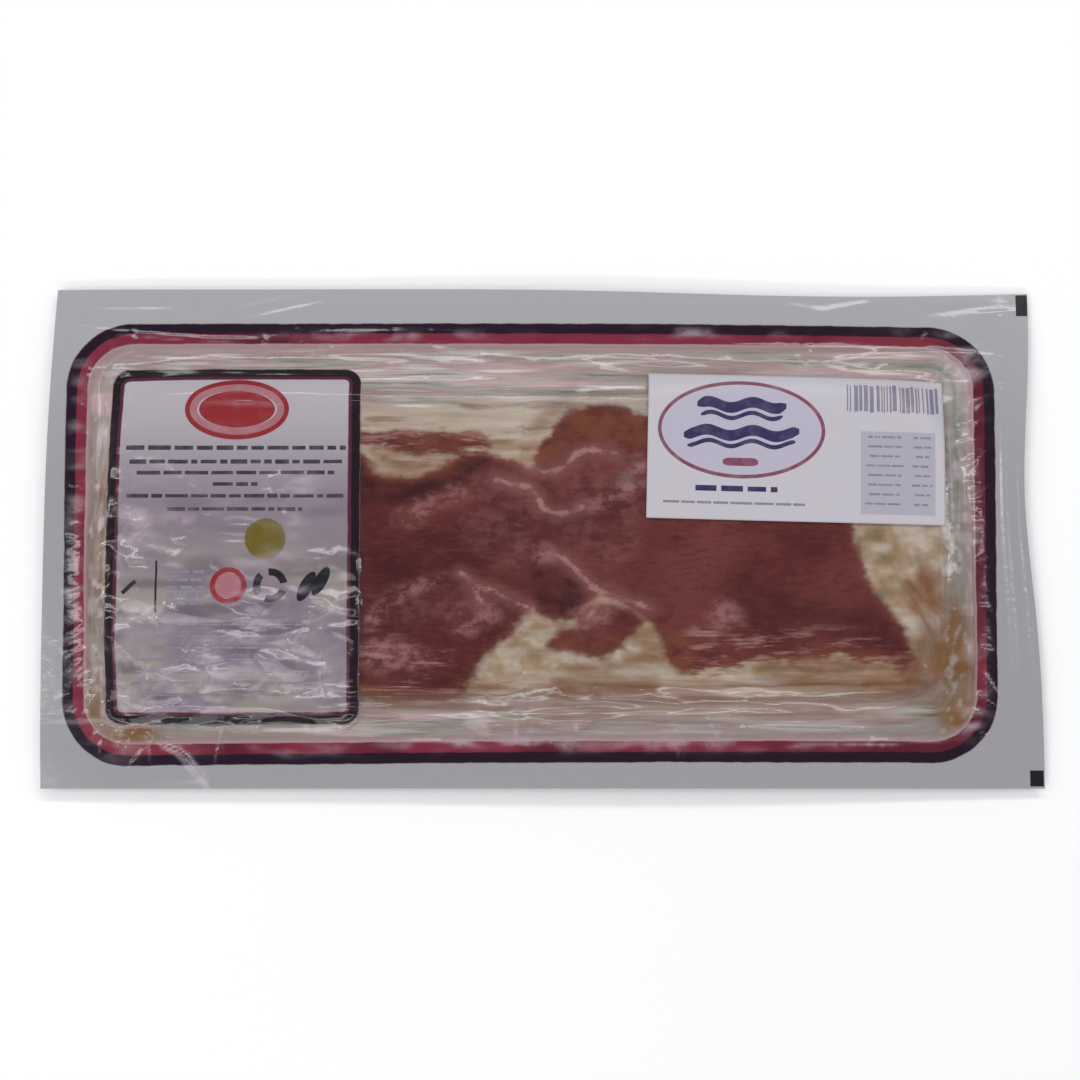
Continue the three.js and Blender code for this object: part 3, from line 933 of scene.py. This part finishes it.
def creasedField(frameDepth, panelDepth, leanness, stickerDepth):
    field = np.zeros(sheetU.shape)
    inWindow = smoothstep(frameDepth, 2, 8)
    besideMeat = inWindow * (1 - smoothstep(abs(sheetY + 3) - 30, 8, 0))
    atEnd = smoothstep(abs(sheetX + 3), 100, 110)
    onPanel = smoothstep(panelDepth, -1, 1)
    lowPanel = onPanel * smoothstep(sheetY, 0, -22)
    midPanel = onPanel * smoothstep(sheetY, 30, 12)
    fatty = inWindow * (1 - leanness) * (1 - onPanel)
    field += crumples["bandStreak"] * besideMeat * ripples(17, 0.85)
    acrossFat = (1 - atEnd) * ripples(3.4, 1.0) + 0.6 * atEnd * ripples(1.1, 3.0)
    field += crumples["fat"] * fatty * acrossFat
    field += crumples["panel"] * (0.2 * onPanel + 0.4 * midPanel + 0.6 * lowPanel) * ripples(2.6, 1.0)
    ridged = 0.2 * onPanel + 0.35 * midPanel + 0.55 * lowPanel
    field += crumples["panelRidge"] * ridged * abs(ripples(5.0, 2.4))
    field += crumples["lean"] * inWindow * ripples(4, 2.2)
    field += crumples["rim"] * (1 - inWindow) * ripples(9, 9)
    creaseStrips(field, creases["long"])
    creaseBand(field, creases["band"])
    creaseStrips(field, creases["panel"])
    kind = creases["fat"]
    for _ in range(kind["count"]):
        x, y = rng.uniform(*kind["x"]), rng.uniform(*kind["y"])
        row, column = np.searchsorted(sheetV[:, 0], y), np.searchsorted(sheetU[0], x)
        if fatty[row, column] > kind["leastFat"]:
            randomCrease(field, kind, x, y, 0)
    kind = creases["rim"]
    for _ in range(kind["count"]):
        y = rng.choice(kind["y"]) + rng.normal(0, 1)
        randomCrease(field, kind, rng.uniform(*kind["x"]), y, 0)
    for fold in creases["cornerFolds"]:
        addCrease(field, *fold)
    for x, height in creases["sealRidges"]:
        addCrease(field, x, 0, math.pi / 2, creases["ridgeLength"], creases["ridgeHalfWidth"], height)
    return field * (1 - crumples["underSticker"] * smoothstep(stickerDepth, -1.5, 1))


def toSticker(x, y):
    return turned(x - sticker["middle"][0], y - sticker["middle"][1], -sticker["turn"])


frameDepth = frameDepthAt(sheetX, sheetY)
panelX, panelY = sheetX - panel["middle"][0], sheetY - panel["middle"][1]
panelDepth = roundedDepth(panelX + panel["slant"] * panelY, panelY, panel["size"], panel["radius"])
stickerDepth = roundedDepth(*toSticker(sheetX, sheetY), sticker["size"], sticker["corner"])
leanness = smoothstep(leanDepth, -1, 2)
meatAlone = np.where(wholeDepth > -1, meatZ, 0)  # so that the film lies flat on the one below round it
overMeat = blur(grow(meatAlone, films["stretch"]), films["stretch"], films["stretch"]) + films["meatGap"]
smoothFilm = (rimZ + overMeat + np.hypot(rimZ - overMeat, films["blend"])) / 2
creased = creasedField(frameDepth, panelDepth, leanness, stickerDepth)
lowest = np.maximum(meatZ, underZ) + films["leastGap"]
filmZ = (smoothFilm + creased + lowest + np.hypot(smoothFilm + creased - lowest, films["leastBlend"])) / 2
steepness = np.hypot(*np.gradient(creased, step))


# Places where painted highlights make the crinkled film shine whitish: middle, reach along X and Y, how much
glares = [
    (-24, 33.5, 13, 3.2, 0.9), (-38, 36, 10, 2.0, 0.5), (54, -40.6, 12, 1.3, 0.8), (72, -37.5, 18, 1.0, 0.4),
    (-12, -56.5, 24, 1.6, 0.9), (42, -56.3, 24, 1.5, 0.8), (-70, -58, 22, 1.6, 0.4), (-112, -53, 7, 6, 0.5),
    (116, 44, 5, 8, 0.8), (104, 54, 12, 2.0, 0.6), (-40, 55, 22, 1.3, 0.6), (40, 55.5, 26, 1.2, 0.6),
    (-125.5, 22, 2.6, 26, 0.55), (-125.5, -20, 3.0, 20, 0.55), (117.5, 4, 1.5, 18, 0.25),
    (118, -38, 1.8, 9, 0.4), (25, 15, 5, 4, 0.3), (50, -22, 4, 2, 0.25), (-16, -22, 5, 2.5, 0.25),
    (111.5, 14, 3.8, 22, 0.7), (109, 40, 9, 9, 0.7), (-4.5, -54, 5, 1.6, 1.0), (48, -54.8, 10, 0.9, 1.3),
    (114.6, -49.5, 4, 4, 0.9), (100, -38.5, 5, 1.5, 0.7),
]
panelGlares = [
    (-72, 12, 9, 2.5, 0.6), (-65.5, 2.5, 2.5, 4, 0.7), (-105, -24, 9, 6, 0.5), (-104, -42, 8, 4, 0.8),
    (-80, -36, 20, 3, 0.5), (-84, -28, 16, 2, 0.5), (-60, -40, 8, 5, 0.5), (-92, 4, 14, 3, 0.3),
    (-78, -45, 24, 2, 0.6), (-66, 15, 5, 3, 0.7), (-90, 13, 16, 1.3, 0.6), (-96, 8, 14, 1.6, 0.5),
    (-95, 1, 6, 4, 0.55), (-78, -7, 16, 2.2, 0.5), (-108, 2, 5, 10, 0.5), (-74, 5, 12, 2, 0.4),
]


def glareAt(places):
    return np.maximum.reduce([
        share * hump(sheetX - x, reachX) * hump(sheetY - y, reachY)
        for x, y, reachX, reachY, share in places])


# Where the clear film is hazy, where its print is rubbed white, where it has painted highlights and painted
# shade, and where juice lies under it
window = smoothstep(frameDepth, 5.4, 7.4)
onMeat = smoothstep(wholeDepth, 0, 9)
streaky = smoothstep(ripples(15, 1.0), 0.3, 2.6)
wispy = smoothstep(ripples(22, 2.2), -0.4, 3.0)
# painted glints near the ends of the meat
sparkle = smoothstep(ripples(0.6, 0.8), 0.6, 1.8) * window * smoothstep(abs(sheetX + 3), 104, 112)
crinkled = smoothstep(ripples(2.6, 1.0), -0.7, 1.5)
upperFat = smoothstep(sheetY, 24, 33) * smoothstep(-sheetX, -30, 0)
onFat = 1 - leanness
hazeAndGlare = window * (0.05 * onFat + (1 - onMeat) * (0.3 + 0.4 * streaky)
                 + (0.2 + 0.3 * streaky) * smoothstep(sheetY, 30, 38) * onFat
                 + 0.15 * streaky * smoothstep(-sheetY, 34, 42) * onFat
                 + 0.35 * smoothstep(sheetX, 104, 110)
                 + (0.45 * upperFat + 0.15 * smoothstep(-sheetY, 37, 42)) * wispy * onFat)
creasy = smoothstep(ripples(4.2, 1.6), -0.3, 1.4)
shade = smoothstep(panelDepth, 2, 4) * smoothstep(ripples(4.5, 1.3), 0.2, 1.8) * (
    0.3 * smoothstep(sheetY, 22, 8) + 0.3 * smoothstep(sheetY, 2, -20))
glare = glareAt(glares) * crinkled
panelGlare = glareAt(panelGlares) * creasy
onBorder = smoothstep(panelDepth, -0.5, 0.3) * smoothstep(-panelDepth, -3.2, -2.4)
# white at steep creases as rubbed film, plus painted highlights from the glares and glints
scuff = (1 - 0.95 * onBorder) * np.minimum(
    0.5 * smoothstep(steepness, 0.14, 0.5) + 0.75 * glare + 0.9 * panelGlare + 0.55 * sparkle, 0.85)
# painted highlights also make the film milky there
hazeAndGlare = np.maximum(hazeAndGlare, np.maximum(0.7 * glare, 0.75 * sparkle))
juice = window * smoothstep(union(pattern["juice"]), -4, 3)
hazeAndGlare = np.maximum(hazeAndGlare, 0.62 * juice)

everyCell = np.ones((pack["cells"][1], pack["cells"][0]), bool)
topFilm = addSheet("top_film", np.stack([sheetX, sheetY, filmZ], 2), everyCell,
                   {"frameDepth": frameDepth, "panelDepth": panelDepth, "hazeAndGlare": np.minimum(hazeAndGlare, 0.9),
                    "scuff": scuff, "juice": juice, "shade": shade}, film)
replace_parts(topFilm, "pack")
justBelow = -grow(-filmZ, step) - films["apart"]
sealed = smoothstep(-wholeDepth, *films["sealed"])
bottomZ = np.minimum(underZ + (justBelow - underZ) * sealed, justBelow)
half = np.stack([sheetX, sheetY, bottomZ], 2)[::2, ::2]  # half as fine
addSheet("bottom_film", half, np.ones((half.shape[0] - 1, half.shape[1] - 1), bool),
         {"frameDepth": frameDepth[::2, ::2]}, underFilm)
print("films made")


# Prints lie on what carries them

# A field's values at those places of the plain sheet
def sample(field, u, v):
    column = np.clip((u + pack["length"] / 2) / step, 0, pack["cells"][0] - 1e-6)
    row = np.clip((v + pack["width"] / 2) / (pack["width"] / pack["cells"][1]), 0, pack["cells"][1] - 1e-6)
    j, i = column.astype(int), row.astype(int)
    s, t = column - j, row - i
    return ((field[i, j] * (1 - s) + field[i, j + 1] * s) * (1 - t)
            + (field[i + 1, j] * (1 - s) + field[i + 1, j + 1] * s) * t)


def onFilm(x, y, lift):
    return np.stack([sample(sheetX, x, y), sample(sheetY, x, y), sample(filmZ, x, y) + lift], -1)


stickerBed = blur(grow(filmZ, sticker["span"]), sticker["stiffness"], sticker["stiffness"])


def onSticker(x, y, lift):
    x, y = turned(x, y, sticker["turn"])
    x, y = sticker["middle"][0] + x, sticker["middle"][1] + y
    return np.stack([x, y, sample(stickerBed, x, y) + lift], -1)


def gridOver(width, height, cell):
    columns, rows = max(1, round(width / cell)), max(1, round(height / cell))
    return np.meshgrid(np.linspace(-0.5, 0.5, columns + 1), np.linspace(-0.5, 0.5, rows + 1))


class Print:
    # Gathers the marks of one colour on one surface, and makes them into one piece
    def __init__(self, surface, lift, cell):
        self.surface, self.lift, self.cell = surface, lift, cell
        self.points, self.quads, self.scuffs, self.count = [], [], [], 0

    def add(self, x, y):
        points = self.surface(x, y, self.lift).reshape(-1, 3)
        self.quads.append(cellQuads(np.ones((x.shape[0] - 1, x.shape[1] - 1), bool)) + self.count)
        self.points.append(points)
        # print on the film takes the film's rubbed creases and painted highlights
        self.scuffs.append(sample(scuff, x, y).ravel() if self.surface is onFilm else np.zeros(x.size))
        self.count += len(points)

    def bar(self, x, y, width, height, turn=0.0):
        u, v = gridOver(width, height, self.cell)
        u, v = turned(u * width, v * height, turn)
        self.add(x + u, y + v)

    def disc(self, x, y, radiusX, radiusY, turn=0.0):
        u, v = gridOver(radiusX * 2, radiusY * 2, self.cell)
        u, v = u * 2, v * 2
        u, v = turned(u * np.sqrt(1 - v * v / 2) * radiusX, v * np.sqrt(1 - u * u / 2) * radiusY, turn)
        self.add(x + u, y + v)

    def ring(self, x, y, radiusX, radiusY, width, start=0.0, end=2 * math.pi):
        around = max(8, round((end - start) * max(radiusX, radiusY) / self.cell))
        angle, inward = np.meshgrid(np.linspace(end, start, around + 1), np.linspace(width, 0, 3))
        self.add(x + (radiusX - inward) * np.cos(angle), y + (radiusY - inward) * np.sin(angle))

    # A wavy bar with blunt ends
    def wave(self, x, y, width, height, waves, swing):
        u, v = gridOver(width, height, self.cell)
        blunt = np.clip((0.5 - abs(u)) * width / height * 2, 0.2, 1) ** 0.5
        self.add(x + u * width, y + swing * np.sin(u * 2 * math.pi * waves) + v * height * blunt)

    # A line of plain dashes of random lengths
    def dashes(self, x, y, width, height, shortest, longest):
        at = x - width / 2
        end = x + width / 2
        while at < end - shortest / 2:
            length = min(rng.uniform(shortest, longest), end - at)
            self.bar(at + length / 2, y, length, height * rng.uniform(0.85, 1.1))
            at += length + height * 0.9

    def make(self, name, material):
        values = {"scuff": np.concatenate(self.scuffs)}
        points, quads = np.concatenate(self.points), np.concatenate(self.quads)
        return addMesh(name, points, quads, values, material)


def makeSticker():
    width, height = sticker["size"]
    columns, rows = sticker["cells"]
    x, y = np.meshgrid(
        np.linspace(-width / 2, width / 2, columns + 1), np.linspace(-height / 2, height / 2, rows + 1))
    above = onSticker(x, y, sticker["gap"] + sticker["thickness"])
    below = onSticker(x, y, sticker["gap"])
    return addBody("sticker", above, below, np.ones((rows, columns), bool), {}, paper)


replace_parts(makeSticker(), "label")

inks = {
    "navy": makeInk("navy_ink", screen(44, 34, 82), 0.12),
    "maroon": makeInk("maroon_ink", screen(120, 62, 84), 0.2),
    "grey": makeInk("grey_ink", screen(124, 120, 140), 0.3),
    "paleGrey": makeInk("pale_grey_ink", screen(166, 163, 176), 0.1),
    "lilac": makeInk("lilac_ink", screen(178, 172, 190), 0.1),
    "dark": makeInk("dark_ink", screen(50, 38, 54), 0.15),
    "red": makeInk("red_ink", screen(134, 22, 32), 0.04),
    "pink": makeInk("pink_ink", screen(158, 98, 108), 0.15),
    "olive": makeInk("olive_ink", screen(98, 84, 16), 0.04),
    "black": makeInk("black_ink", screen(12, 8, 18), 0.02),
}
stickerLift = sticker["gap"] + sticker["thickness"] + 0.03
fieldLift = stickerLift - 0.015  # of the pale fields that other print lies on
filmLift = 0.08
markLift = 0.06

# In millimetres from the sticker's middle. A line of dashes is a place, a length, a height, and the
# shortest and longest dash.
stickerPrint = {
    "cell": 0.9,
    "oval": (-14.8, 4.7), "ovalRadii": (22.5, 13.4), "ovalLine": 1.0, "fieldRadii": (21.3, 12.3),
    "stripes": ((11.4, 24, 2), (3.7, 31, 2.5)),  # place, length and waves
    "stripeHeight": 3.0, "swing": 0.8, "thinBelow": 2.9, "thinShorter": 2, "thinHeight": 1.2,
    "shortBar": (-15, -4.2, 9.5, 2.2),
    "darkDashes": (-16, -11.5, 22, 1.4, 3, 8), "thinDashes": (-16.6, -15.4, 38, 0.6, 1.5, 6),
    "table": (27.3, -6.2, 20, 22.5), "tableCell": 1.0,
    "rows": 8, "firstRow": 3.6, "rowStep": 2.6, "rowHeight": 0.55,
    "columns": ((-3.6, 11, (-3, 1), 4), (6.5, 4.5, (-1, 1), 3)),  # place, length, its range, longest dash
    "shortestDash": 1.2,
    "barsMiddle": 26.3, "barsBefore": 12.8, "barsAfter": 12.6, "barsY": 14.2, "barsHeight": 7.4,
    "barWidths": (0.35, 0.5, 0.8, 1.1), "barGaps": (0.3, 0.45, 0.8),
}


def printSticker():
    look = stickerPrint
    x, y = look["oval"]
    navy = Print(onSticker, stickerLift, look["cell"])
    for stripeY, length, waves in look["stripes"]:
        thinY, thinLength = stripeY - look["thinBelow"], length - look["thinShorter"]
        navy.wave(x, stripeY, length, look["stripeHeight"], waves, look["swing"])
        navy.wave(x, thinY, thinLength, look["thinHeight"], waves, look["swing"])
    navy.dashes(*look["darkDashes"])
    navy.make("sticker_navy_print", inks["navy"])
    maroon = Print(onSticker, stickerLift, look["cell"])
    maroon.ring(x, y, *look["ovalRadii"], look["ovalLine"])
    maroon.wave(*look["shortBar"], 1, 0)
    maroon.make("sticker_maroon_print", inks["maroon"])
    lilac = Print(onSticker, fieldLift, look["cell"])
    lilac.disc(x, y, *look["fieldRadii"])
    lilac.make("sticker_lilac_field", inks["lilac"])
    pale = Print(onSticker, fieldLift, look["tableCell"])
    pale.bar(*look["table"])
    pale.make("sticker_table_field", inks["paleGrey"])
    grey = Print(onSticker, stickerLift, look["cell"])
    grey.dashes(*look["thinDashes"])
    at = look["barsMiddle"] - look["barsBefore"]
    while at < look["barsMiddle"] + look["barsAfter"]:
        width = rng.choice(look["barWidths"])
        grey.bar(at + width / 2, look["barsY"] + rng.uniform(-0.3, 0.3), width, look["barsHeight"])
        at += width + rng.choice(look["barGaps"])
    for row in range(look["rows"]):
        rowY = look["firstRow"] - row * look["rowStep"]
        for place, length, change, longest in look["columns"]:
            grey.dashes(look["table"][0] + place, rowY, length + rng.uniform(*change), look["rowHeight"],
                        look["shortestDash"], longest)
    grey.make("sticker_grey_print", inks["grey"])


# In millimetres from the pack's middle
panelPrint = {
    "cell": 0.7, "middle": -81.9,
    "lines": (  # place, length and height
        (22.7, 59, 1.15), (18.9, 57, 1.05), (15.9, 53, 0.95), (12.8, 12, 1.0), (9.6, 58, 0.95),
        (6.0, 36, 0.9)),
    "lineDashes": (1.6, 6.5),
    "tick": (-109.6, -15.0, 4.8, 1.1, 0.75), "upright": (-102.4, -14.9, 0.5, 13.9),
    "arcs": (-72.0, -14.6, 4.6, 4.6, 1.9), "arcStarts": (0.2, 2.3, 4.4), "arcLength": 1.5,
    "leaves": ((-62.4, -14.8, 1.7, 4.4, -0.5), (-58.6, -13.4, 1.6, 4.2, -0.5)),
    "oval": (-81.9, 33.3),
    "ovalEdge": (14.0, 8.3, 1.3), "ovalRing": (12.6, 6.9, 1.8), "ovalDisc": (10.2, 5.0),
    "round": (-83.2, -14.6), "roundEdge": (4.9, 4.9, 1.3), "roundDisc": (3.4, 3.4),
    "oliveDisc": (-73.6, -2.0, 5.4, 5.4),
    "sideDashes": (-94.6, -10.9, 10, 0.9, 1.2, 4), "sideRows": 5, "sideStep": 2.1,
    "lowDashes": (-82, -25, 52, 0.5, 1.5, 7), "lowRows": 7, "lowStep": 3.1, "greyHigher": 0.02,
}


def printPanel():
    look = panelPrint

    def start(higher=0):
        return Print(onFilm, filmLift + higher, look["cell"])

    dark = start()
    for y, length, height in look["lines"]:
        dark.dashes(look["middle"], y, length, height, *look["lineDashes"])
    dark.make("panel_dark_print", inks["dark"])
    black = start()
    black.bar(*look["tick"])
    black.bar(*look["upright"])
    for angle in look["arcStarts"]:
        black.ring(*look["arcs"], angle, angle + look["arcLength"])
    for leaf in look["leaves"]:
        black.disc(*leaf)
    black.make("panel_black_print", inks["black"])
    red = start()
    red.ring(*look["oval"], *look["ovalEdge"])
    red.disc(*look["oval"], *look["ovalDisc"])
    red.ring(*look["round"], *look["roundEdge"])
    red.make("panel_red_print", inks["red"])
    pink = start()
    pink.ring(*look["oval"], *look["ovalRing"])
    pink.disc(*look["round"], *look["roundDisc"])
    pink.make("panel_pink_print", inks["pink"])
    olive = start()
    olive.disc(*look["oliveDisc"])
    olive.make("panel_olive_print", inks["olive"])
    grey = start(look["greyHigher"])
    x, y, length, height, shortest, longest = look["sideDashes"]
    for row in range(look["sideRows"]):
        grey.dashes(x, y - row * look["sideStep"], length, height, shortest, longest)
    x, y, length, height, shortest, longest = look["lowDashes"]
    for row in range(look["lowRows"]):
        grey.dashes(x + rng.uniform(-2, 2), y - row * look["lowStep"], length + rng.uniform(-14, 2), height,
                    shortest, longest)
    grey.make("panel_grey_print", inks["grey"])


edgeMarks = ((132.3, 64.4, 3.2, 6.6), (131.9, -65.4, 3.6, 4.2))


def printMarks():
    black = Print(onFilm, markLift, 0.65)
    for mark in edgeMarks:
        black.bar(*mark)
    black.make("edge_marks", inks["black"])


printSticker()
printPanel()
printMarks()
print("prints made")

# Table, lights and camera

studio = {
    "floor": screen(252, 252, 252), "floorDull": screen(250, 250, 250), "floorSize": 6.0, "floorZ": -0.0002,
    "sky": (0.95, 0.97, 1.0, 1), "skyStrength": 0.36,
    "lamps": [
        # name, place, size, power
        ("ceiling_light", (-0.55, -0.65, 1.35), (0.9, 0.8), 6),
        ("far_strip", (0.1, 0.72, 0.95), (1.2, 0.18), 4.8),
        ("near_strip", (-0.1, -0.85, 0.8), (1.0, 0.06), 2.2),
        ("left_strip", (-0.75, 0.05, 0.9), (0.06, 0.8), 1.8),
        ("right_strip", (0.8, 0.2, 0.8), (0.06, 0.8), 1.6),
    ],
}
# The lens is given in pixels of a frame that many pixels wide
view = {"distance": 550, "tilt": math.radians(7.9), "focalPixels": 2023.5, "pixels": 1080,
        "target": (-0.27, -0.95, 0), "sensor": 36}


def makeFloor():
    n = Nodes("pale_table")
    color = n.mix(n.remap(n.noise((3, 3, 3)), 0.3, 0.7), studio["floor"], studio["floorDull"])
    material = n.finish(n.make("BsdfPrincipled", {"Base Color": color, "Roughness": 0.6}).outputs[0])
    mesh = bpy.data.meshes.new("table")
    half = studio["floorSize"] / 2
    corners = [(-half, -half), (half, -half), (half, half), (-half, half)]
    mesh.from_pydata([(x, y, studio["floorZ"]) for x, y in corners], [], [(0, 1, 2, 3)])
    mesh.materials.append(material)
    floor = bpy.data.objects.new("table", mesh)
    bpy.context.scene.collection.objects.link(floor)


def makeLights():
    world = bpy.data.worlds.new("studio")
    bpy.context.scene.world = world
    world.use_nodes = True
    background = world.node_tree.nodes["Background"]
    background.inputs["Color"].default_value = studio["sky"]
    background.inputs["Strength"].default_value = studio["skyStrength"]
    for name, place, size, power in studio["lamps"]:
        lamp = bpy.data.lights.new(name, "AREA")
        lamp.shape = "RECTANGLE"
        lamp.size, lamp.size_y = size
        lamp.energy = power
        holder = bpy.data.objects.new(name, lamp)
        holder.location = place
        aim = Vector(place)
        holder.rotation_euler = aim.to_track_quat("Z", "Y").to_euler()
        bpy.context.scene.collection.objects.link(holder)


def makeCamera():
    data = bpy.data.cameras.new("camera")
    data.sensor_width = view["sensor"]
    data.lens = view["focalPixels"] * view["sensor"] / view["pixels"]
    data.clip_start = 0.01
    camera = bpy.data.objects.new("camera", data)
    x, y, z = view["target"]
    tilt, distance = view["tilt"], view["distance"]
    camera.location = (x * mm, (y - distance * math.sin(tilt)) * mm, (z + distance * math.cos(tilt)) * mm)
    camera.rotation_euler = (tilt, 0, 0)
    bpy.context.scene.collection.objects.link(camera)
    bpy.context.scene.camera = camera


makeFloor()
makeLights()
makeCamera()
bpy.context.scene.view_settings.view_transform = "Standard"

print("scene ready")
